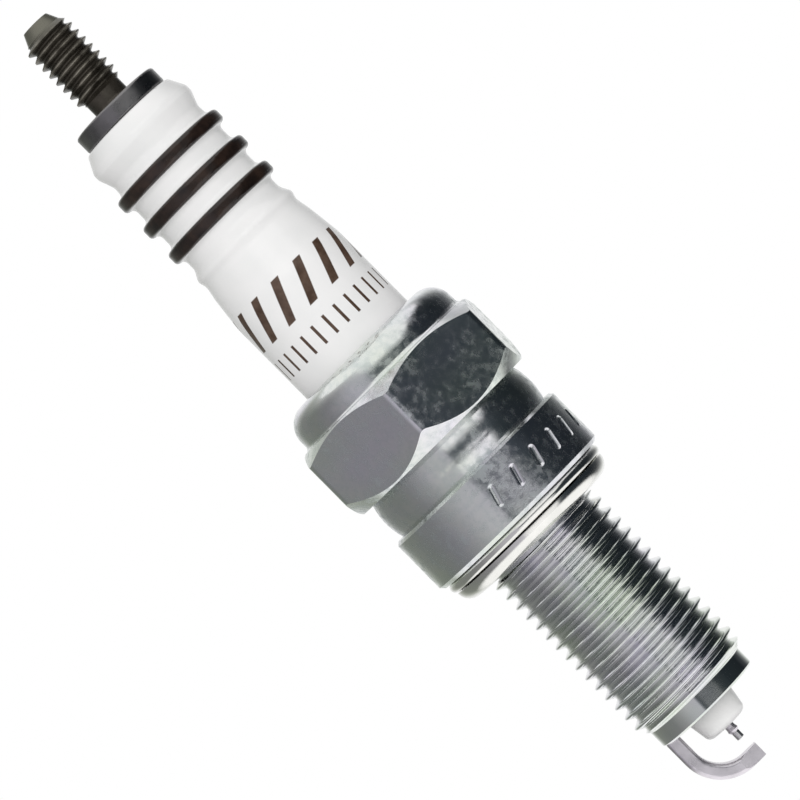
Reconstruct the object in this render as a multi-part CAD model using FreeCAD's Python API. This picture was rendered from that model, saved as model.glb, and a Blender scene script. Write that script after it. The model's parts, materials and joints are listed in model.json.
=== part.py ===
import FreeCAD, Part
import math
import os

from FreeCAD import Vector

# Resistor spark plug with an M10 x 1 shell, a fine-wire centre electrode and a bare threaded terminal.
# Millimetres. +Z runs along the plug's axis towards the terminal. The origin is the centre of the
# gasket's lower face, which lies on the cylinder head. The ground electrode hangs on the -X side.
# Heights are measured from the shell's seat, the face that presses on the gasket, unless they say otherwise.

# ---------------------------------------------------------------- driving dimensions: the shell
thread_major = 9.92  # M10 thread, over the crests
thread_pitch = 1.0
thread_reach = 19.0  # from the seat to the end of the shell
thread_turn = -72.0  # degrees from +X to where the lowest groove begins
neck_length = 2.3  # plain neck that the gasket turns on
pilot_length = 1.4  # plain end past the last thread
barrel_diameter = 15.5
barrel_height = 4.7
barrel_edge = 0.25
seat_edge = 0.3
waist_height = 3.1
waist_end_drop = 0.24  # how much smaller the bulging waist is at its two ends
hex_across_flats = 15.95
hex_height = 5.95
hex_corner_round = 0.7
hex_foot_chamfer = 1.5  # height that the lower chamfer takes off each corner
hex_top_chamfer = 1.0
hex_chamfer_inset = 0.12  # of the chamfers' small ends inside the flats
hex_corner_turn = -4.5  # degrees between a corner and the -Y direction
collar_wall = 1.35
collar_height = 2.65
collar_round = 1.8
collar_foot_round = 0.35
lip_thickness = 0.45
lip_slope = 0.35  # how far the lip's underside drops towards the collar
lip_gap = 0.2  # between the crimped lip and the insulator
shoulder_clearance = 0.05  # radial, between the shell's bore and the insulator's large shoulder
waist_relief = 0.43  # how much wider the bore is behind the thin wall
waist_wall = 0.72  # thin wall that buckles when the shell is crimped
waist_ramp = 0.4  # height of the slope into the relief behind the thin wall
trunk_bore = 6.9  # through the upper half of the thread
nose_bore = 5.9  # gas pocket round the insulator's nose
step_depth = 1.75  # height of the foot of the shell's inner step
bore_edge = 0.15
mark_count = 6  # plain slanted strokes stamped in the barrel
mark_length = 1.8
mark_ball_radius = 0.36  # of the round-nosed punch
mark_depth = 0.15
mark_lean = 16.0  # degrees
mark_spacing = 2.07  # along the barrel's surface
mark_first_turn = -2.0  # degrees from the -Y direction

# ---------------------------------------------------------------- driving dimensions: the insulator
head_diameter = 10.0
packed_step = 0.2  # radial step down to where the packing lies, inside the crimped lip
grip_foot_drop = 0.1  # how far the full diameter reaches below the lip's top
head_straight_top = 23.4  # top of the cylindrical part that a plug cap grips
head_top = 39.65
crown_diameter = 7.9
crown_height = 1.4
crown_bulge_diameter = 9.2
skirt_diameter = 9.4  # where the flare above the cap's grip begins to narrow
dip_diameter = 8.95
bead_below_ribs_diameter = 9.35
valley_diameter = 8.45
rib_diameter = 9.76
rib_count = 3
rib_height = 0.98
rib_spacing = 2.55
lowest_rib = 30.2
rib_round = 0.3
valley_round = 0.45
shoulder_diameter = 12.1
shoulder_slope = 0.05  # rise of the shoulder's top face towards the axis
step_gap = 0.35  # along the axis, between the shell's inner step and the insulator's shoulder
trunk_clearance = 0.1  # radial, to the shell
seat_cone_top = -8.2
leg_top_diameter = 4.9
leg_end_diameter = 4.15  # at the shell's end
nose_projection = 2.0  # past the shell's end
nose_tip_diameter = 3.5
nose_round = 0.5
terminal_bore = 3.0
bore_step = -6.5  # where the wide bore narrows, in a cone, to the electrode's bore
electrode_bore = 2.0

# ---------------------------------------------------------------- driving dimensions: what is packed inside
ring_side_gap = 0.1  # on each side of the two wire rings beside the talc
ring_seat_gap = 0.03
talc_between_rings = 1.7
seat_packing_thickness = 0.3
upper_seal_top = 15.2
resistor_top = 10.8
resistor_foot = 2.0

# ---------------------------------------------------------------- driving dimensions: the terminal stud
stud_thread_major = 3.92  # M4
stud_thread_pitch = 0.7
stud_flange_diameter = 7.45
stud_flange_height = 1.4
stud_flange_round = 0.22
stud_neck_length = 1.15
stud_thread_length = 5.95
stud_tip_length = 0.85
stud_tip_diameter = 2.25
stud_shank_clearance = 0.1
stud_foot = 12.4
stud_knurl_diameter = 2.4
stud_knurl_depth = 0.16
stud_knurl_count = 6
stud_knurl_spacing = 0.5

# ---------------------------------------------------------------- driving dimensions: the electrodes
head_flange_diameter = 2.8
head_flange_height = 1.3
electrode_clearance = 0.05
core_diameter = 1.1
core_end = -19.6
electrode_neck_diameter = 0.74
bead_diameter = 0.86
bead_height = 0.42
neck_projection = 0.3  # plain neck that shows between the nose and the bead
tip_diameter = 0.6
tip_projection = 0.62
tip_socket = 0.12
spark_gap = 0.9
strap_thickness = 1.12
strap_width = 2.2
strap_outer_offset = 4.16  # of the strap's outer face from the axis, at the shell
strap_bend_radius = 2.9  # at mid-thickness
strap_overhang = 0.47  # of the strap's end past the axis
strap_tip_width = 1.25
strap_taper_length = 1.7
strap_edge_round = 0.3

# ---------------------------------------------------------------- driving dimensions: the gasket
gasket_sheet = 0.35
gasket_height = 2.0
gasket_diameter = 14.6
gasket_hole = 9.62  # smaller than the thread, so that the gasket can't drop off
gasket_fold_radius = 0.225  # of the outer fold, at mid-sheet; the inner fold takes up the rest of the height
gasket_curl_gap = 0.08  # between the rim of the curled foot and the layer above it
gasket_foot_diameter = 11.95
gasket_play = 0.02  # between the gasket and the seat, so that it turns freely

# ---------------------------------------------------------------- sizes that follow from the above
THREAD_DEPTH = 0.6134  # of the pitch, for a 60-degree thread
ROOT_ROUND = 0.14  # of the pitch
CREST_FLAT = 0.125  # of the pitch
GROOVE_OVERCUT = 0.08  # of the pitch, past the crests
TOUCH = 1e-4  # how far a rounded corner keeps from its neighbour

thread_crest = thread_major / 2
thread_root = thread_crest - THREAD_DEPTH * thread_pitch
neck_radius = thread_root - 0.03
hex_corner = hex_across_flats / math.sqrt(3)
hex_foot = barrel_height + waist_height
hex_top = hex_foot + hex_height
collar_top = hex_top + collar_height
head_radius = head_diameter / 2
packed_radius = head_radius - packed_step
seat_height = gasket_height + gasket_play
shoulder_radius = shoulder_diameter / 2
bore_radius = shoulder_radius + shoulder_clearance
ring_radius = (bore_radius + packed_radius) / 2
ring_wire = bore_radius - packed_radius - 2 * ring_side_gap
trunk_radius = trunk_bore / 2 - trunk_clearance
leg_top_radius = leg_top_diameter / 2
seat_cone_foot = seat_cone_top - (trunk_radius - leg_top_radius)
nose_end = -thread_reach - nose_projection
terminal_radius = terminal_bore / 2
electrode_bore_radius = electrode_bore / 2
step_foot = bore_step - (terminal_radius - electrode_bore_radius)
shoulder_cone_foot = step_depth + step_gap
shoulder_foot = shoulder_cone_foot + shoulder_radius - trunk_radius
tip_end = nose_end - neck_projection - bead_height - tip_projection
strap_inner_face = tip_end - spark_gap


def upper_ring_height():
    """The lip's slanted underside rests on the upper ring."""
    lip_inner = head_radius + lip_gap
    slope = lip_slope / (bore_radius - lip_inner)
    underside = collar_top - lip_thickness - (ring_radius - lip_inner) * slope
    return underside - ring_wire / 2 * math.sqrt(1 + slope**2) - ring_seat_gap


def lower_ring_height():
    return upper_ring_height() - ring_wire - talc_between_rings


def shoulder_top():
    """The lower ring rests on the insulator's large shoulder."""
    return lower_ring_height() - ring_wire / 2 - ring_seat_gap - shoulder_slope


# ---------------------------------------------------------------- helpers
def corner_arc(before, corner, after, radius, share_back, share_ahead):
    """Start, middle and end of the tangent arc that rounds a corner, within its share of each side."""
    back = before - corner
    ahead = after - corner
    reach = min(back.Length * share_back, ahead.Length * share_ahead) - TOUCH
    back.normalize()
    ahead.normalize()
    half = math.acos(max(-1.0, min(1.0, back.dot(ahead)))) / 2
    tangent = min(radius / math.tan(half), reach)
    radius = tangent * math.tan(half)
    bisector = back + ahead
    bisector.normalize()
    centre = corner + bisector * (radius / math.sin(half))
    return corner + back * tangent, centre - bisector * radius, corner + ahead * tangent


def outline(points):
    """Closed wire in the XZ plane through (x, z) or (x, z, corner radius) points."""
    corners = [Vector(p[0], 0, p[1]) for p in points]
    radii = [p[2] if len(p) > 2 else 0 for p in points]
    count = len(corners)
    ends = []
    for i in range(count):
        j = (i + 1) % count
        if radii[i]:
            share_back = radii[i] / (radii[i] + radii[i - 1])
            share_ahead = radii[i] / (radii[i] + radii[j])
            ends.append(corner_arc(corners[i - 1], corners[i], corners[j], radii[i], share_back, share_ahead))
        else:
            ends.append((corners[i], None, corners[i]))
    edges = []
    for i, (start, middle, end) in enumerate(ends):
        if middle is not None:
            edges.append(Part.Arc(start, middle, end).toShape())
        following = ends[(i + 1) % count][0]
        if (following - end).Length > 1e-7:
            edges.append(Part.LineSegment(end, following).toShape())
    return Part.Wire(edges)


def turned(points):
    """Solid of revolution about Z of an outline given as (radius, height) points."""
    return Part.Face(outline(points)).revolve(Vector(0, 0, 0), Vector(0, 0, 1), 360)


def rod(radius, low, high):
    return Part.makeCylinder(radius, high - low, Vector(0, 0, low))


def thread_groove(crest_radius, pitch, low, high):
    """Helical 60-degree groove between two heights, round at its bottom, to cut a right-hand thread in a rod."""
    depth = THREAD_DEPTH * pitch
    over = GROOVE_OVERCUT * pitch
    slope = math.tan(math.radians(30))
    half_mouth = (1 - CREST_FLAT) / 2 * pitch
    half_outer = half_mouth + over * slope
    root = ROOT_ROUND * pitch
    arc_rise = root * (1 - math.sin(math.radians(30)))
    half_arc = half_mouth - (depth - arc_rise) * slope
    foot_low = Vector(crest_radius - depth + arc_rise, 0, low - half_arc)
    foot_high = Vector(crest_radius - depth + arc_rise, 0, low + half_arc)
    bottom = Vector(crest_radius - depth, 0, low)
    mouth_low = Vector(crest_radius + over, 0, low - half_outer)
    mouth_high = Vector(crest_radius + over, 0, low + half_outer)
    section = Part.Wire(
        [
            Part.makeLine(mouth_low, mouth_high),
            Part.makeLine(mouth_high, foot_high),
            Part.Arc(foot_high, bottom, foot_low).toShape(),
            Part.makeLine(foot_low, mouth_low),
        ]
    )
    path = Part.makeHelix(pitch, high - low, crest_radius)
    path.translate(Vector(0, 0, low))
    return Part.Wire(path.Edges).makePipeShell([section], True, True)


def ribbon(start, heading, moves, thickness):
    """Closed XZ outline of a bent strip. Moves are lengths, or (radius, degrees) bends with left positive."""
    sides = ([], [])
    point = Vector(start[0], 0, start[1])
    angle = math.radians(heading)

    def beside(p, a, side):
        return p + Vector(-math.sin(a), 0, math.cos(a)) * (side * thickness / 2)

    for move in moves:
        if isinstance(move, tuple):
            radius, turn = move[0], math.radians(move[1])
            way = math.copysign(1, turn)
            centre = point + Vector(-math.sin(angle), 0, math.cos(angle)) * (radius * way)
            stops = [angle, angle + turn / 2, angle + turn]
            places = [centre - Vector(-math.sin(a), 0, math.cos(a)) * (radius * way) for a in stops]
            for side, edges in zip((1, -1), sides):
                edges.append(Part.Arc(*[beside(p, a, side) for p, a in zip(places, stops)]).toShape())
            point, angle = places[2], stops[2]
        else:
            ahead = point + Vector(math.cos(angle), 0, math.sin(angle)) * move
            for side, edges in zip((1, -1), sides):
                edges.append(Part.LineSegment(beside(point, angle, side), beside(ahead, angle, side)).toShape())
            point = ahead
    left, right = sides
    caps = [
        Part.LineSegment(left[0].firstVertex().Point, right[0].firstVertex().Point).toShape(),
        Part.LineSegment(left[-1].lastVertex().Point, right[-1].lastVertex().Point).toShape(),
    ]
    return Part.Wire(Part.__sortEdges__(left + right + caps))


# ---------------------------------------------------------------- the shell
def hex_flats():
    """What is cut off the turned shell to leave the six flats."""
    blank = rod(hex_corner * 1.3, hex_foot, hex_top)
    corners = []
    for k in range(7):
        turn = math.radians(-90 + hex_corner_turn + 60 * k)
        corners.append(Vector(hex_corner * math.cos(turn), hex_corner * math.sin(turn), hex_foot))
    prism = Part.Face(Part.makePolygon(corners)).extrude(Vector(0, 0, hex_height))
    upright = [e for e in prism.Edges if abs(e.tangentAt(e.FirstParameter).z) > 0.9]
    return blank.cut(prism.makeFillet(hex_corner_round, upright))


def stamped_marks():
    """Plain slanted strokes that a round-nosed punch sinks in the barrel."""
    surface = barrel_diameter / 2
    half_mouth = math.sqrt(mark_ball_radius**2 - (mark_ball_radius - mark_depth) ** 2)
    half = mark_length / 2 - half_mouth
    ball = mark_ball_radius
    strokes = []
    for k in range(mark_count):
        capsule = [(0, -half - ball), (ball, -half - ball, ball), (ball, half + ball, ball), (0, half + ball)]
        tool = turned(capsule)
        tool.rotate(Vector(0, 0, 0), Vector(1, 0, 0), -mark_lean)
        tool.translate(Vector(surface + ball - mark_depth, 0, barrel_height / 2))
        turn = -90 + mark_first_turn + math.degrees(mark_spacing * k / surface)
        tool.rotate(Vector(0, 0, 0), Vector(0, 0, 1), turn)
        strokes.append(tool)
    return strokes


def thread_reliefs():
    """What is turned off above and below the shell's thread: the gasket's neck and the plain pilot."""
    clear = thread_crest + thread_pitch / 2
    pilot_top = -thread_reach + pilot_length
    neck = turned([(neck_radius, -neck_length), (clear, -neck_length), (clear, 0), (neck_radius, 0)])
    pilot = turned(
        [
            (neck_radius - seat_edge / 2, -thread_reach),
            (clear, -thread_reach),
            (clear, pilot_top + clear - neck_radius),
            (neck_radius, pilot_top),
            (neck_radius, -thread_reach + seat_edge / 2),
        ]
    )
    return [neck, pilot]


def metal_shell():
    barrel = barrel_diameter / 2
    waist = bore_radius + waist_relief + waist_wall
    waist_end = waist - waist_end_drop
    waist_middle = barrel_height + waist_height / 2
    collar = bore_radius + collar_wall
    flat = hex_across_flats / 2
    lip_inner = head_radius + lip_gap
    lip_foot = collar_top - lip_thickness - lip_slope
    ledge_shift = seat_packing_thickness * math.sqrt(2)
    ledge_top = seat_cone_top + (trunk_bore / 2 - trunk_radius) - ledge_shift
    ledge_foot = ledge_top - (trunk_bore - nose_bore) / 2
    step_rise = bore_radius - trunk_bore / 2
    relief = waist - waist_wall
    body = turned(
        [
            (thread_crest, -thread_reach),
            (thread_crest, 0),
            (barrel - seat_edge, 0),
            (barrel, seat_edge),
            (barrel, barrel_height - barrel_edge),
            (barrel - barrel_edge, barrel_height, 0.1),
            (waist_end, barrel_height),
            (waist + waist_end_drop, waist_middle, 20.0),
            (waist_end, hex_foot),
            (flat - hex_chamfer_inset, hex_foot),
            (hex_corner, hex_foot + hex_foot_chamfer),
            (hex_corner, hex_top - hex_top_chamfer),
            (flat - hex_chamfer_inset, hex_top),
            (collar, hex_top, collar_foot_round),
            (collar, collar_top, collar_round),
            (lip_inner, collar_top, lip_thickness / 2),
            (lip_inner, collar_top - lip_thickness, 0.12),
            (bore_radius, lip_foot, 0.25),
            (bore_radius, hex_foot, 0.3),
            (relief, hex_foot - waist_ramp, 0.3),
            (relief, barrel_height + waist_ramp, 0.3),
            (bore_radius, barrel_height, 0.3),
            (bore_radius, step_depth + step_rise, 0.3),
            (trunk_bore / 2, step_depth, 0.2),
            (trunk_bore / 2, ledge_top),
            (nose_bore / 2, ledge_foot, 0.1),
            (nose_bore / 2, -thread_reach, bore_edge),
        ]
    )
    body = body.cut(hex_flats())
    body = body.cut(stamped_marks())
    groove_low = -thread_reach + pilot_length - thread_pitch / 4
    groove_high = -neck_length + thread_pitch * 0.75
    groove = thread_groove(thread_crest, thread_pitch, groove_low, groove_high)
    groove.rotate(Vector(0, 0, 0), Vector(0, 0, 1), thread_turn)
    body = body.cut(groove)
    return body.cut(thread_reliefs()).removeSplitter()


# ---------------------------------------------------------------- the insulator
def rib_outline(height):
    """Outline points of one rib on the insulator's head, from its lower valley to its upper edge."""
    valley = valley_diameter / 2
    crest = rib_diameter / 2
    flank = 0.08
    return [
        (valley, height - rib_height / 2 - flank, valley_round),
        (crest, height - rib_height / 2, rib_round),
        (crest, height + rib_height / 2, rib_round),
        (valley, height + rib_height / 2 + flank, valley_round),
    ]


def insulator():
    valley = valley_diameter / 2
    bulge = crown_bulge_diameter / 2
    crown_foot = head_top - crown_height
    first_valley = lowest_rib - rib_height / 2 - 1.1
    flare = first_valley - head_straight_top
    points = [
        (electrode_bore_radius, nose_end, 0.08),
        (nose_tip_diameter / 2, nose_end, nose_round),
        (leg_end_diameter / 2, -thread_reach, 1.5),
        (leg_top_radius, seat_cone_foot, 0.3),
        (trunk_radius, seat_cone_top, 0.15),
        (trunk_radius, shoulder_cone_foot, 0.3),
        (shoulder_radius, shoulder_foot, 0.4),
        (shoulder_radius, shoulder_top(), 0.3),
        (packed_radius, shoulder_top() + shoulder_slope),
        (packed_radius, collar_top - grip_foot_drop - packed_step),
        (head_radius, collar_top - grip_foot_drop),
        (head_radius, head_straight_top, 6.0),
        (skirt_diameter / 2, head_straight_top + flare * 0.50, 3.5),
        (dip_diameter / 2, head_straight_top + flare * 0.72, 0.9),
        (bead_below_ribs_diameter / 2, head_straight_top + flare * 0.84, 0.5),
        (valley, first_valley, 0.8),
    ]
    for k in range(rib_count):
        points += rib_outline(lowest_rib + rib_spacing * k)
    top_rib = lowest_rib + rib_spacing * (rib_count - 1)
    points += [
        (valley - 0.05, top_rib + rib_height / 2 + 0.95, 0.7),
        (bulge, crown_foot - 0.35, 0.4),
        (bulge, crown_foot + 0.15, 0.6),
        (crown_diameter / 2, head_top, 0.3),
        (terminal_radius, head_top, 0.1),
        (terminal_radius, bore_step),
        (electrode_bore_radius, step_foot),
    ]
    return turned(points)


# ---------------------------------------------------------------- the terminal stud
def terminal_stud():
    crest = stud_thread_major / 2
    root = crest - THREAD_DEPTH * stud_thread_pitch - 0.01
    flange_top = head_top + stud_flange_height
    thread_foot = flange_top + stud_neck_length
    thread_top = thread_foot + stud_thread_length
    tip_top = thread_top + stud_tip_length
    clear = crest + stud_thread_pitch / 2
    shank = terminal_radius - stud_shank_clearance
    knurl = stud_knurl_diameter / 2
    knurl_top = upper_seal_top + 0.4
    points = [
        (0, stud_foot),
        (knurl - stud_knurl_depth, stud_foot),
    ]
    for k in range(stud_knurl_count):
        low = stud_foot + 0.1 + stud_knurl_spacing * k
        points += [
            (knurl, low + stud_knurl_spacing * 0.3),
            (knurl, low + stud_knurl_spacing * 0.6),
            (knurl - stud_knurl_depth, low + stud_knurl_spacing * 0.9),
        ]
    points += [
        (knurl - stud_knurl_depth, knurl_top),
        (shank, knurl_top + 0.3, 0.1),
        (shank, head_top),
        (stud_flange_diameter / 2, head_top, stud_flange_round),
        (stud_flange_diameter / 2, flange_top, stud_flange_round),
        (crest, flange_top),
        (crest, tip_top),
        (0, tip_top),
    ]
    groove_low = thread_foot - stud_thread_pitch / 4
    groove_high = thread_top + stud_thread_pitch / 4
    threaded = turned(points).cut(thread_groove(crest, stud_thread_pitch, groove_low, groove_high))
    neck = turned(
        [
            (root, flange_top, 0.3),
            (clear, flange_top),
            (clear, thread_foot + clear - root),
            (root, thread_foot),
        ]
    )
    tip = turned(
        [
            (root, thread_top),
            (clear, thread_top - (clear - root)),
            (clear, tip_top),
            (stud_tip_diameter / 2, tip_top),
        ]
    )
    return threaded.cut([neck, tip])


# ---------------------------------------------------------------- what is packed inside
def wire_ring(height):
    """Round wire ring in the gap between the insulator's head and the shell's bore."""
    return Part.makeTorus(ring_radius, ring_wire / 2, Vector(0, 0, height))


def talc_packing():
    """Pressed talc between the two wire rings, which bed into it."""
    low, high = lower_ring_height(), upper_ring_height()
    block = rod(bore_radius, low, high).cut(rod(packed_radius, low, high))
    return block.cut([wire_ring(low), wire_ring(high)])


def seat_packing():
    """Conical washer that seals the insulator's lower seat on the shell's ledge."""
    rise = seat_packing_thickness * math.sqrt(2)
    inner = nose_bore / 2 + 0.04
    outer = trunk_radius - 0.04

    def cone(radius):
        return seat_cone_top - (trunk_radius - radius)

    return turned([(inner, cone(inner) - rise), (outer, cone(outer) - rise), (outer, cone(outer)), (inner, cone(inner))])


def filling(low, high, *inserts):
    """A plug of glass or resistor mass that fills the terminal bore and wraps round what is set in it."""
    block = rod(terminal_radius, low, high)
    return block.cut(list(inserts)) if inserts else block


# ---------------------------------------------------------------- the electrodes
def electrode_core():
    radius = core_diameter / 2
    head_face = bore_step + head_flange_height
    return turned([(0, core_end), (radius, core_end, 0.2), (radius, head_face), (0, head_face)])


def centre_electrode():
    """Nickel sheath: head set in the glass, shank, necked end and the weld bead round the fine wire."""
    flange = head_flange_diameter / 2
    shank = electrode_bore_radius - electrode_clearance
    neck = electrode_neck_diameter / 2
    bead = bead_diameter / 2
    head_face = bore_step + head_flange_height
    neck_foot = nose_end - neck_projection
    bead_end = neck_foot - bead_height
    body = turned(
        [
            (0, bead_end),
            (tip_diameter / 2 + 0.03, bead_end, 0.03),
            (bead, neck_foot - bead_height * 0.55, 0.12),
            (neck, neck_foot, 0.08),
            (neck, nose_end + 0.05, 0.1),
            (shank, nose_end + 0.55, 0.1),
            (shank, step_foot - electrode_clearance),
            (flange, bore_step - (terminal_radius - flange)),
            (flange, head_face - 0.4, 0.1),
            (flange * 0.72, head_face, 0.1),
            (0, head_face),
        ]
    )
    return body.cut([electrode_core(), iridium_tip()])


def iridium_tip():
    radius = tip_diameter / 2
    root = tip_end + tip_projection + tip_socket
    return turned([(0, tip_end), (radius, tip_end, 0.04), (radius, root), (0, root)])


def ground_electrode():
    """J-shaped strap welded to the shell's end, its tip narrowed by two slanting cuts."""
    half = strap_thickness / 2
    start = -strap_outer_offset + half
    drop = thread_reach + strap_inner_face - half  # negative: the strap's lowest middle line below the shell
    straight = -drop - strap_bend_radius
    run = strap_overhang - (start + strap_bend_radius)
    side = ribbon((start, -thread_reach), -90, [straight, (strap_bend_radius, 90), run], strap_thickness)
    strap = Part.Face(side).extrude(Vector(0, strap_width, 0))
    strap.translate(Vector(0, -strap_width / 2, 0))
    shell_end = -thread_reach - 1e-3
    long_edges = [e for e in strap.Edges if abs(e.CenterOfMass.y) > strap_width / 2 - 1e-6]
    long_edges = [e for e in long_edges if e.CenterOfMass.z < shell_end]
    strap = strap.makeFillet(min(strap_edge_round, half * 0.6), long_edges)
    drop_in = (strap_width - strap_tip_width) / 2
    low = strap_inner_face - 2 * strap_thickness
    for side_sign in (1, -1):
        wedge = Part.makePolygon(
            [
                Vector(strap_overhang - strap_taper_length, side_sign * strap_width / 2, low),
                Vector(strap_overhang, side_sign * (strap_width / 2 - drop_in), low),
                Vector(strap_overhang + 1, side_sign * (strap_width / 2 - drop_in), low),
                Vector(strap_overhang + 1, side_sign * strap_width, low),
                Vector(strap_overhang - strap_taper_length, side_sign * strap_width, low),
                Vector(strap_overhang - strap_taper_length, side_sign * strap_width / 2, low),
            ]
        )
        strap = strap.cut(Part.Face(wedge).extrude(Vector(0, 0, 3 * strap_thickness)))
    return strap


# ---------------------------------------------------------------- the gasket
def gasket():
    """Sheet-metal ring folded in three layers, which crushes when the plug is tightened."""
    inner_radius = (gasket_height - gasket_sheet) / 2 - gasket_fold_radius
    outer_fold = gasket_diameter / 2 - gasket_sheet / 2 - gasket_fold_radius
    inner_fold = gasket_hole / 2 + gasket_sheet / 2 + inner_radius
    foot = gasket_foot_diameter / 2
    curl_radius = 2 * inner_radius - gasket_sheet / 2 - gasket_curl_gap
    moves = [
        outer_fold - inner_fold,
        (gasket_fold_radius, -180),
        outer_fold - inner_fold,
        (inner_radius, 180),
        foot - inner_fold,
        (curl_radius, 90),
    ]
    strip = ribbon((inner_fold, -gasket_sheet / 2), 0, moves, gasket_sheet)
    return Part.Face(strip).revolve(Vector(0, 0, 0), Vector(0, 0, 1), 360)


# ---------------------------------------------------------------- the assembly
def sub_parts():
    stud = terminal_stud()
    core = electrode_core()
    sheath = centre_electrode()
    return {
        "metal_shell": metal_shell(),
        "insulator": insulator(),
        "terminal_stud": stud,
        "upper_glass_seal": filling(resistor_top, upper_seal_top, stud),
        "resistor": filling(resistor_foot, resistor_top),
        "lower_glass_seal": filling(bore_step, resistor_foot, sheath, core),
        "centre_electrode": sheath,
        "electrode_core": core,
        "iridium_tip": iridium_tip(),
        "upper_packing_ring": wire_ring(upper_ring_height()),
        "talc_packing": talc_packing(),
        "lower_packing_ring": wire_ring(lower_ring_height()),
        "seat_packing": seat_packing(),
        "ground_electrode": ground_electrode(),
        "gasket": gasket(),
    }


os.makedirs("parts", exist_ok=True)
for name, shape in sub_parts().items():
    if name == "gasket":
        shape.translate(Vector(0, 0, gasket_height))
    else:
        shape.translate(Vector(0, 0, seat_height))
    shape.exportStep("parts/" + name + ".step")
    box = shape.BoundBox
    print(
        f"{name}: {len(shape.Solids)} solid, valid {shape.isValid()}, {shape.Volume:.3f} mm3, "
        f"z {box.ZMin:.2f} to {box.ZMax:.2f}, across {box.XLength:.2f} x {box.YLength:.2f}"
    )
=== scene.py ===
import json
import math

import bpy
from mathutils import Matrix, Vector


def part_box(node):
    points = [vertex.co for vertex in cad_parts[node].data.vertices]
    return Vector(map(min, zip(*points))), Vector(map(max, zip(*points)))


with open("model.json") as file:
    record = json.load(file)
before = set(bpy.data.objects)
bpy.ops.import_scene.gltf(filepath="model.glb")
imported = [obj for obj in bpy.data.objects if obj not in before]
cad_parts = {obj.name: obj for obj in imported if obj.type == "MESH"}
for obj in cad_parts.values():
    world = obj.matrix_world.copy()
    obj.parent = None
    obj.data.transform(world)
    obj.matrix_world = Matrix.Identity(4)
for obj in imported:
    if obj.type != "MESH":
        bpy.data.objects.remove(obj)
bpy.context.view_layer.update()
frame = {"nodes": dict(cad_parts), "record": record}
mm = 0.001

# ---------------------------------------------------------------- places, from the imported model
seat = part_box("gasket")[1].z
shell_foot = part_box("metal_shell")[0].z

THREAD_PITCH = 1.0 * mm
THREAD_LOW = shell_foot + 1.45 * mm
THREAD_HIGH = seat - 2.4 * mm
GROOVE = shell_foot + 1.35 * mm  # height of the thread's groove on the +X side

# heights above the seat
RIBS = (28.9 * mm, 37.0 * mm)  # stretch of the insulator that holds the three black ribs
RIB_EDGE = (4.50 * mm, 4.58 * mm)  # radii between which the glaze turns black
BARS = (20.9 * mm, 24.1 * mm)
TICKS = (18.2 * mm, 19.9 * mm)
PRINT_HALF_WIDTH = 7.6 * mm  # along the insulator's surface, each side of the front
PRINT_RADIUS = 5.0 * mm
FLANGE_TOP = 41.0 * mm
# heights of the painted highlight on the stud's end
STUD_TIP_HIGHLIGHT = (47.6 * mm, 48.3 * mm)
STUD_CREST_WEAR_AND_HIGHLIGHT = (1.70 * mm, 1.93 * mm)  # radii between which the blackening has worn off and the crests carry a painted highlight

# ---------------------------------------------------------------- camera
LENS = 250.0
SENSOR = 36.0
VIEW_WIDTH = 56.86 * mm
AIM = Vector((-0.34 * mm, 0.0, seat + 11.8 * mm))
TURN = (0.7108, 0.7034)  # the plug's +X as the picture sees it: right, up


def add_camera():
    """Looks along +Y, turned about that line so that the plug lies across the picture."""
    data = bpy.data.cameras.new("camera")
    data.type = "PERSP"
    data.sensor_width = SENSOR
    data.lens = LENS
    data.clip_start = 0.01
    data.clip_end = 10.0
    camera = bpy.data.objects.new("camera", data)
    bpy.context.scene.collection.objects.link(camera)
    right = Vector((TURN[0], 0, -TURN[1]))
    up = Vector((TURN[1], 0, TURN[0]))
    back = right.cross(up)
    place = AIM + back * (VIEW_WIDTH / SENSOR * LENS)
    camera.matrix_world = Matrix(
        (
            (right.x, up.x, back.x, place.x),
            (right.y, up.y, back.y, place.y),
            (right.z, up.z, back.z, place.z),
            (0, 0, 0, 1),
        )
    )
    bpy.context.scene.camera = camera


add_camera()


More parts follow.
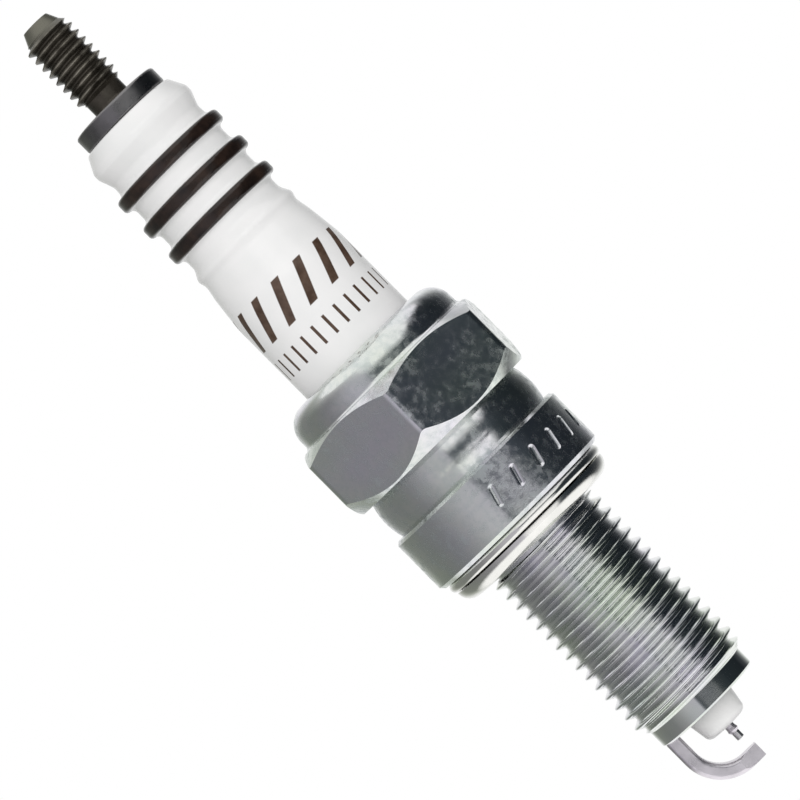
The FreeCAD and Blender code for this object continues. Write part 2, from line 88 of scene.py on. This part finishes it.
# ---------------------------------------------------------------- node helpers
class Tree:
    """Short way to write a material's node tree."""

    def __init__(self, name):
        self.material = bpy.data.materials.new(name)
        self.material.use_nodes = True
        self.tree = self.material.node_tree
        self.tree.nodes.clear()
        self.out = self.tree.nodes.new("ShaderNodeOutputMaterial")
        self.places = self.tree.nodes.new("ShaderNodeTexCoord").outputs["Object"]

    def node(self, kind, **values):
        made = self.tree.nodes.new(kind)
        for key, value in values.items():
            setattr(made, key, value)
        return made

    def join(self, source, target):
        """Link an output to a socket, or set the socket's value."""
        if hasattr(source, "is_output"):
            self.tree.links.new(source, target)
        else:
            target.default_value = source

    def math(self, operation, a, b=0.0):
        made = self.node("ShaderNodeMath", operation=operation)
        self.join(a, made.inputs[0])
        self.join(b, made.inputs[1])
        return made.outputs[0]

    def times(self, a, b):
        return self.math("MULTIPLY", a, b)

    def plus(self, a, b):
        return self.math("ADD", a, b)

    def larger(self, a, b):
        return self.math("MAXIMUM", a, b)

    def split(self):
        made = self.node("ShaderNodeSeparateXYZ")
        self.join(self.places, made.inputs[0])
        return made.outputs

    def combine(self, x, y, z):
        made = self.node("ShaderNodeCombineXYZ")
        for value, socket in zip((x, y, z), made.inputs):
            self.join(value, socket)
        return made.outputs[0]

    def noise(self, scale, detail=3.0, rough=0.55, vector=None):
        made = self.node("ShaderNodeTexNoise")
        self.join(vector or self.places, made.inputs["Vector"])
        made.inputs["Scale"].default_value = scale
        made.inputs["Detail"].default_value = detail
        made.inputs["Roughness"].default_value = rough
        return made.outputs["Fac"]

    def spread(self, value, low, high, to_low=0.0, to_high=1.0, smooth=False):
        """Ramp from to_low at low to to_high at high, level beyond both."""
        made = self.node("ShaderNodeMapRange", clamp=True)
        made.interpolation_type = "SMOOTHSTEP" if smooth else "LINEAR"
        self.join(value, made.inputs[0])
        for socket, number in zip(made.inputs[1:5], (low, high, to_low, to_high)):
            self.join(number, socket)
        return made.outputs[0]

    def window(self, value, low, high, edge):
        """1 between low and high, falling to 0 within an edge inside each."""
        rise = self.spread(value, low, low + edge)
        return self.times(rise, self.spread(value, high - edge, high, 1.0, 0.0))

    def mix(self, factor, a, b):
        made = self.node("ShaderNodeMix", data_type="RGBA")
        self.join(factor, made.inputs["Factor"])
        self.join(a, made.inputs[6])
        self.join(b, made.inputs[7])
        return made.outputs[2]

    def bump(self, height, strength, distance, normal=None):
        made = self.node("ShaderNodeBump")
        self.join(height, made.inputs["Height"])
        made.inputs["Strength"].default_value = strength
        made.inputs["Distance"].default_value = distance
        if normal is not None:
            self.join(normal, made.inputs["Normal"])
        return made.outputs[0]

    def around(self):
        """Angle about the plug's axis in turns, distance from it, and height."""
        x, y, z = self.split()
        angle = self.math("DIVIDE", self.math("ARCTAN2", y, x), 2 * math.pi)
        radius = self.math("SQRT", self.plus(self.times(x, x), self.times(y, y)))
        return angle, radius, z

    def shader(self, color, roughness, normal, metallic=0.0):
        made = self.node("ShaderNodeBsdfPrincipled")
        self.join(color, made.inputs["Base Color"])
        self.join(roughness, made.inputs["Roughness"])
        self.join(metallic, made.inputs["Metallic"])
        self.join(normal, made.inputs["Normal"])
        self.join(made.outputs[0], self.out.inputs[0])
        return self.material


def rgb(r, g, b):
    return (r, g, b, 1.0)


# ---------------------------------------------------------------- materials
def plated_steel():
    """Zinc plate with a faint green and lilac film, mottled above the thread and smooth below."""
    t = Tree("zinc_plated_steel")
    angle, _, z = t.around()
    threaded = t.times(
        t.spread(z, THREAD_LOW, THREAD_LOW + 0.1 * mm),
        t.spread(z, THREAD_HIGH, THREAD_HIGH + 0.1 * mm, 1.0, 0.0),
    )
    mottled = t.spread(z, THREAD_HIGH, THREAD_HIGH + 0.1 * mm)
    cloud = t.noise(260.0)
    lathe = t.combine(t.times(angle, 9.0), 0.0, t.times(z, 900.0))
    streak = t.noise(1.0, 2.0, vector=lathe)
    film = t.noise(150.0, 2.0)
    spangle = t.noise(2100.0, 2.0, 0.5)

    color = t.mix(t.spread(film, 0.38, 0.62), rgb(0.75, 0.79, 0.73), rgb(0.78, 0.76, 0.82))
    color = t.mix(t.spread(cloud, 0.45, 0.75, 0.0, 0.35), color, rgb(0.60, 0.69, 0.67))
    color = t.mix(t.spread(streak, 0.4, 0.8, 0.0, 0.3), color, rgb(0.86, 0.86, 0.80))
    darker = t.times(t.spread(spangle, 0.38, 0.66, 0.0, 0.22), mottled)
    color = t.mix(darker, color, rgb(0.48, 0.58, 0.58))

    patchy = t.times(t.spread(spangle, 0.34, 0.72), t.spread(cloud, 0.35, 0.60, 0.45, 1.0))
    rough = t.plus(t.spread(cloud, 0.3, 0.7, 0.11, 0.17), t.times(t.times(patchy, mottled), 0.29))
    rough = t.times(rough, t.spread(mottled, 0.0, 1.0, 0.6, 0.9))

    # the rolled thread is rounder than its plain 60-degree faces
    turns = t.math("SUBTRACT", t.math("DIVIDE", t.math("SUBTRACT", z, GROOVE), THREAD_PITCH), angle)
    rolled = t.times(t.math("COSINE", t.times(turns, 6 * math.pi)), threaded)
    normal = t.bump(rolled, 1.0, 0.018 * mm)
    normal = t.bump(t.times(spangle, mottled), 0.28, 0.02 * mm, normal)
    normal = t.bump(t.noise(320.0, 1.0), 0.6, 0.05 * mm, normal)
    return t.shader(color, rough, normal, 1.0)


def ceramic():
    """White glaze with black ribs, and plain slanted bars over a row of ticks on the front."""
    t = Tree("glazed_alumina")
    angle, radius, z = t.around()
    ribs = t.window(z, seat + RIBS[0], seat + RIBS[1], 0.1 * mm)
    raised = t.spread(radius, *RIB_EDGE)
    glaze = t.noise(300.0, 2.0)
    body = t.mix(t.spread(glaze, 0.35, 0.65), rgb(0.835, 0.835, 0.83), rgb(0.875, 0.868, 0.865))
    band = t.mix(t.spread(t.noise(900.0, 2.0), 0.3, 0.75), rgb(0.008, 0.005, 0.004), rgb(0.030, 0.017, 0.012))
    arc = t.times(t.plus(angle, 0.25), 2 * math.pi * PRINT_RADIUS)
    front = t.spread(t.math("ABSOLUTE", arc), PRINT_HALF_WIDTH, PRINT_HALF_WIDTH + 0.1 * mm, 1.0, 0.0)

    def row(heights, spacing, width, lean):
        """Evenly spaced strokes between two heights, leaning by a share of their height."""
        low, high = (seat + height for height in heights)
        leaning = t.math("SUBTRACT", arc, t.times(t.math("SUBTRACT", z, low), lean))
        start = 20.0 * mm  # keeps the phase positive all the way round
        phase = t.math("FRACT", t.math("DIVIDE", t.plus(leaning, start), spacing))
        share = width / spacing
        stripe = t.times(t.spread(phase, 0.0, 0.03), t.spread(phase, share, share + 0.03, 1.0, 0.0))
        return t.times(stripe, t.window(z, low, high, 0.06 * mm))

    bars = row(BARS, 2.2 * mm, 0.75 * mm, 0.42)
    ticks = row(TICKS, 1.1 * mm, 0.24 * mm, 0.0)
    printed = t.times(t.larger(bars, ticks), front)
    ink = t.mix(t.spread(t.noise(1500.0, 2.0), 0.3, 0.7), rgb(0.060, 0.034, 0.022), rgb(0.110, 0.070, 0.050))
    color = t.mix(t.times(ribs, raised), t.mix(printed, body, ink), band)
    rough = t.spread(glaze, 0.3, 0.7, 0.16, 0.24)
    normal = t.bump(t.noise(700.0, 2.0), 0.06, 0.05 * mm)
    return t.shader(color, rough, normal)


def dark_steel():
    """Blackened stud: brighter on its crests, where the blackening has worn off and a highlight is painted,
    with a painted highlight on its end, and bare on the flange.
    """
    t = Tree("blackened_steel")
    _, radius, z = t.around()
    cloud = t.noise(900.0)
    shade = t.spread(cloud, 0.3, 0.7)
    flange = t.spread(z, seat + FLANGE_TOP, seat + FLANGE_TOP + 0.1 * mm, 1.0, 0.0)
    worn_crest_and_highlight = t.spread(radius, *STUD_CREST_WEAR_AND_HIGHLIGHT)
    tip_highlight = t.spread(z, seat + STUD_TIP_HIGHLIGHT[0], seat + STUD_TIP_HIGHLIGHT[1])
    color = t.mix(shade, rgb(0.036, 0.031, 0.024), rgb(0.080, 0.070, 0.056))
    # worn crests, lightened further by a painted highlight
    color = t.mix(t.times(worn_crest_and_highlight, t.spread(cloud, 0.35, 0.6)), color, rgb(0.26, 0.24, 0.20))
    # painted highlight on the stud's end
    color = t.mix(tip_highlight, color, rgb(0.16, 0.155, 0.125))
    color = t.mix(flange, color, t.mix(shade, rgb(0.205, 0.200, 0.202), rgb(0.255, 0.248, 0.250)))
    rough = t.spread(cloud, 0.3, 0.7, 0.22, 0.36)
    normal = t.bump(t.noise(3000.0, 2.0), 0.15, 0.03 * mm)
    return t.shader(color, rough, normal, t.spread(flange, 0.0, 1.0, 0.6, 1.0))


def cloudy(name, low, high, roughs, metallic=1.0):
    """Finish that drifts between two colours and two roughnesses, over a fine grain."""
    t = Tree(name)
    cloud = t.noise(500.0)
    color = t.mix(t.spread(cloud, 0.3, 0.7), rgb(*low), rgb(*high))
    normal = t.bump(t.noise(3000.0, 2.0), 0.12, 0.03 * mm)
    return t.shader(color, t.spread(cloud, 0.3, 0.7, *roughs), normal, metallic)


looks = {
    "plated_steel": plated_steel(),
    "alumina": ceramic(),
    "dark_steel": dark_steel(),
    "gasket_steel": cloudy("gasket_steel", (0.80, 0.80, 0.76), (0.90, 0.89, 0.86), (0.10, 0.2)),
    "electrode_nickel": cloudy("electrode_nickel", (0.66, 0.63, 0.67), (0.84, 0.80, 0.85), (0.26, 0.42)),
    "iridium": cloudy("iridium", (0.66, 0.65, 0.66), (0.80, 0.79, 0.80), (0.2, 0.3)),
    "copper": cloudy("copper", (0.75, 0.38, 0.25), (0.86, 0.50, 0.36), (0.25, 0.4)),
    "ring_steel": cloudy("ring_steel", (0.50, 0.50, 0.50), (0.62, 0.62, 0.61), (0.25, 0.4)),
    "glass_seal": cloudy("copper_glass", (0.20, 0.15, 0.12), (0.42, 0.30, 0.24), (0.3, 0.5), 0.3),
    "resistor_mass": cloudy("resistor_mass", (0.03, 0.03, 0.032), (0.08, 0.08, 0.085), (0.6, 0.8), 0.0),
    "talc": cloudy("pressed_talc", (0.74, 0.73, 0.69), (0.86, 0.85, 0.81), (0.7, 0.9), 0.0),
}
for part in frame["record"]["subparts"]:
    for slot in frame["nodes"][part["node"]].material_slots:
        slot.material = looks[part["material_slot"]]


# ---------------------------------------------------------------- stage
def staged(name, verts, faces, material):
    mesh = bpy.data.meshes.new(name)
    mesh.from_pydata(verts, [], faces)
    mesh.materials.append(material)
    made = bpy.data.objects.new(name, mesh)
    bpy.context.scene.collection.objects.link(made)
    return made


SURROUND_RADIUS = 0.26
SURROUND_HEIGHTS = (-0.30, 0.36)
WHITE = (0.97, 0.97, 0.97)

# Tones of the surround by azimuth: 0 is the camera's side, 90 is +X. They aren't free choices: they
# are a rounded curve, typed by hand, through tones that a scratch program read off the photograph's
# metal and placed where a mirror-like cylinder would reflect them.
# These tones glow as painted reflections: only glossy rays from the plug see them.
SURROUND = [
    (-180, WHITE),
    (-163, (0.78, 0.79, 0.78)),
    (-150, (0.40, 0.42, 0.38)),
    (-138, (0.235, 0.250, 0.225)),
    (-105, (0.200, 0.210, 0.200)),
    (-75, (0.225, 0.225, 0.235)),
    (-55, (0.330, 0.325, 0.345)),
    (-35, (0.480, 0.470, 0.510)),
    (-13, (0.500, 0.490, 0.540)),
    (-9, (0.100, 0.112, 0.125)),
    (25, (0.085, 0.100, 0.110)),
    (45, (0.050, 0.062, 0.070)),
    (65, (0.022, 0.028, 0.034)),
    (112, (0.016, 0.020, 0.024)),
    (130, (0.055, 0.060, 0.065)),
    (142, (0.200, 0.205, 0.210)),
    (152, (0.500, 0.510, 0.510)),
    (165, (0.930, 0.940, 0.940)),
    (180, WHITE),
]

# Painted reflection patches in it, each reflected by one stretch of the plug when seen from the camera's
# side, and tuned until that view's tones came nearer the photograph's: azimuths, heights, soft edge of each,
# strength, tone.
PAINTED_REFLECTION_PATCHES = [
    ((-11, 42), (-4.5 * mm, 5.5 * mm), 10, 3 * mm, 1.0, (0.19, 0.205, 0.215)),  # barrel
    ((-34, -7), (-32 * mm, -9 * mm), 6, 3 * mm, 0.35, (0.97, 0.97, 0.92)),  # thread, left
    ((-5, 40), (-32 * mm, -9 * mm), 6, 3 * mm, 1.0, WHITE),  # thread, middle
    ((-9, 60), (-40 * mm, -32.5 * mm), 3, 1.5 * mm, 1.0, (0.03, 0.036, 0.04)),  # pilot
]


def surround_material():
    """Graded screens, open to white above and low in front."""
    t = Tree("surround")
    x, y, z = t.split()
    azimuth = t.times(t.math("ARCTAN2", x, t.times(y, -1.0)), 180 / math.pi)
    ramp = t.node("ShaderNodeValToRGB")
    stops = ramp.color_ramp.elements
    stops.remove(stops[1])
    stops[0].color = rgb(*SURROUND[0][1])
    for place, tone in SURROUND[1:]:
        stops.new((place + 180) / 360).color = rgb(*tone)
    t.join(t.spread(azimuth, -180, 180), ramp.inputs[0])
    tone = ramp.outputs[0]
    for sides, heights, side, edge, strength, shade in PAINTED_REFLECTION_PATCHES:
        reflection_patch = t.times(t.window(azimuth, *sides, side), t.window(z, *heights, edge))
        tone = t.mix(t.times(reflection_patch, strength), tone, rgb(*shade))

    # the screens end lower in front of the plug, and reach higher on its right
    top = t.plus(t.spread(azimuth, 48, 78, 0.035, 0.215), t.spread(azimuth, -30, -8, 0.10, 0.0))
    above = t.spread(z, top, t.plus(top, t.spread(azimuth, -30, -8, 0.50, 0.070)), smooth=True)
    front = t.times(t.spread(azimuth, -16, -9), t.spread(azimuth, 38, 48, 1.0, 0.0))
    below = t.times(t.spread(z, -0.042, -0.052, smooth=True), front)
    glow = t.node("ShaderNodeEmission")
    t.join(t.mix(t.larger(above, below), tone, rgb(*WHITE)), glow.inputs["Color"])
    t.join(glow.outputs[0], t.out.inputs[0])
    return t.material


def add_surround(steps=120):
    """Upright wall about the plug's axis that only reflections see."""
    verts, faces = [], []
    for k in range(steps):
        a = 2 * math.pi * k / steps
        x, y = SURROUND_RADIUS * math.sin(a), -SURROUND_RADIUS * math.cos(a)
        verts += [(x, y, z) for z in SURROUND_HEIGHTS]
        n = (k + 1) % steps
        faces.append((2 * k, 2 * k + 1, 2 * n + 1, 2 * n))
    surround = staged("surround", verts, faces, surround_material())
    surround.visible_camera = False
    surround.visible_diffuse = False
    surround.visible_shadow = False
    surround.visible_transmission = False


FLOOR = -0.035
FLOOR_RADIUS = 0.070


def background_seen(t):
    """1 for the rays that see the background: camera, glossy and transmission."""
    path = t.node("ShaderNodeLightPath")
    seen = t.larger(path.outputs["Is Camera Ray"], path.outputs["Is Glossy Ray"])
    return t.larger(seen, path.outputs["Is Transmission Ray"])


def floor_material():
    """Pale floor that keeps the plug's shadow and fades out at its edge."""
    t = Tree("pale_floor")
    _, radius, _ = t.around()
    tone = t.mix(t.spread(t.noise(60.0, 2.0), 0.3, 0.7), rgb(0.84, 0.84, 0.84), rgb(0.87, 0.87, 0.87))
    cover = t.node("ShaderNodeBsdfDiffuse")
    t.join(tone, cover.inputs["Color"])
    glow = t.node("ShaderNodeEmission")
    t.join(t.times(background_seen(t), 0.42), glow.inputs["Strength"])
    lit = t.node("ShaderNodeAddShader")
    t.join(cover.outputs[0], lit.inputs[0])
    t.join(glow.outputs[0], lit.inputs[1])
    clear = t.node("ShaderNodeBsdfTransparent")
    fade = t.node("ShaderNodeMixShader")
    t.join(t.spread(radius, FLOOR_RADIUS * 0.6, FLOOR_RADIUS * 0.98, smooth=True), fade.inputs[0])
    t.join(lit.outputs[0], fade.inputs[1])
    t.join(clear.outputs[0], fade.inputs[2])
    t.join(fade.outputs[0], t.out.inputs[0])
    return t.material


def add_floor(steps=64):
    rim = []
    for k in range(steps):
        a = 2 * math.pi * k / steps
        rim.append((FLOOR_RADIUS * math.cos(a), FLOOR_RADIUS * math.sin(a), FLOOR))
    staged("floor", rim, [tuple(range(steps))], floor_material())


def add_world():
    """White where it is seen, dimmer where it only lights the plug."""
    world = bpy.data.worlds.new("studio")
    bpy.context.scene.world = world
    world.use_nodes = True
    tree = world.node_tree
    tree.nodes.clear()
    path = tree.nodes.new("ShaderNodeLightPath")
    seen = path.outputs["Is Camera Ray"]
    for kind in ("Is Glossy Ray", "Is Transmission Ray"):
        either = tree.nodes.new("ShaderNodeMath")
        either.operation = "MAXIMUM"
        tree.links.new(seen, either.inputs[0])
        tree.links.new(path.outputs[kind], either.inputs[1])
        seen = either.outputs[0]
    blend = tree.nodes.new("ShaderNodeMixShader")
    tree.links.new(seen, blend.inputs[0])
    for socket, strength in ((blend.inputs[1], 0.62), (blend.inputs[2], 1.0)):
        sky = tree.nodes.new("ShaderNodeBackground")
        sky.inputs["Color"].default_value = rgb(1, 1, 1)
        sky.inputs["Strength"].default_value = strength
        tree.links.new(sky.outputs[0], socket)
    out = tree.nodes.new("ShaderNodeOutputWorld")
    tree.links.new(blend.outputs[0], out.inputs[0])


def add_softbox(place, aim, side, power):
    data = bpy.data.lights.new("front_softbox", "AREA")
    data.shape = "SQUARE"
    data.size = side
    data.energy = power
    made = bpy.data.objects.new("front_softbox", data)
    bpy.context.scene.collection.objects.link(made)
    made.location = place
    made.rotation_mode = "QUATERNION"
    made.rotation_quaternion = (aim - Vector(place)).to_track_quat("-Z", "Y")
    made.visible_glossy = False


add_surround()
add_floor()
add_world()
add_softbox((0.02, -0.5, 0.16), AIM + Vector((0, 0, 12 * mm)), 0.3, 1.24)

# ---------------------------------------------------------------- finish
bpy.context.scene.view_settings.view_transform = "Standard"
